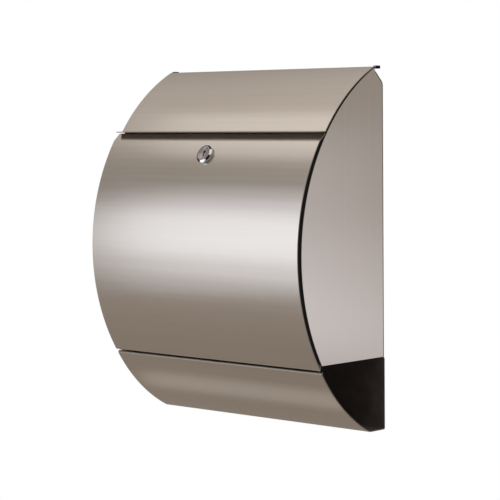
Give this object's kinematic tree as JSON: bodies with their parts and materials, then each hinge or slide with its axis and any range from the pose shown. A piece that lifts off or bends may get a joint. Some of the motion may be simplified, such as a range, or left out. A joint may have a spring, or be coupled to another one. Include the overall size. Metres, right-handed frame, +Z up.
{
  "type": "wall mounted mailbox",
  "caption": "Wall-mounted mailbox of brushed stainless steel with a bowed drop-down door, a cam lock, a lifting flap over the mail slot and an open newspaper tray below.",
  "frame": {"origin": "the middle of the back panel's wall face", "axes": "+Z up, -Y out of the front, +X to the viewer's right when facing the door"},
  "size_m": [0.304, 0.14, 0.3849],
  "materials": {
    "brushed_stainless": "fine horizontal brushing, satin",
    "drawn_steel": "drawn bar, half bright",
    "zinc_plated_steel": "zinc plated, half bright",
    "chrome_plate": "polished",
    "black_rubber": "matt extruded rubber"
  },
  "bodies": {
    "body": {"back_panel": "brushed_stainless", "left_side_panel": "brushed_stainless", "right_side_panel": "brushed_stainless", "left_door_seal": "black_rubber", "right_door_seal": "black_rubber", "flap_bumper_left": "black_rubber", "flap_bumper_right": "black_rubber", "flap_hinge_bracket_left": "brushed_stainless", "flap_hinge_bracket_right": "brushed_stainless", "compartment_floor": "brushed_stainless", "newspaper_tray": "brushed_stainless", "lock_rail": "brushed_stainless", "door_hinge_arm_left": "brushed_stainless", "door_hinge_arm_middle": "brushed_stainless", "door_hinge_arm_right": "brushed_stainless", "wall_washer_lower_left": "black_rubber", "wall_washer_lower_right": "black_rubber", "wall_washer_upper_left": "black_rubber", "wall_washer_upper_right": "black_rubber", "flap_hinge_rod": "drawn_steel", "door_hinge_rod": "drawn_steel"},
    "flap": {"flap": "brushed_stainless", "flap_edging": "black_rubber", "flap_hinge_leaf_left": "brushed_stainless", "flap_hinge_leaf_middle": "brushed_stainless", "flap_hinge_leaf_right": "brushed_stainless"},
    "door": {"door": "brushed_stainless", "lock_barrel": "chrome_plate", "lock_nut": "zinc_plated_steel"},
    "lock": {"lock_plug": "chrome_plate", "lock_cam": "zinc_plated_steel", "cam_washer": "zinc_plated_steel", "cam_screw": "zinc_plated_steel"}
  },
  "joints": [
    {"name": "flap_hinge", "type": "hinge", "parent": "body", "child": "flap", "pos_m": [0, -0.0145, 0.1876], "axis": [-1, 0, 0], "range_deg": [0, 46]},
    {"name": "door_hinge", "type": "hinge", "parent": "body", "child": "door", "pos_m": [0, -0.10389, -0.1162], "axis": [1, 0, 0], "range_deg": [0, 95]},
    {"name": "lock_turn", "type": "hinge", "parent": "door", "child": "lock", "pos_m": [0, -0.11375, 0.1005], "axis": [0, -0.8785, 0.4778], "range_deg": [0, 90]}
  ]
}
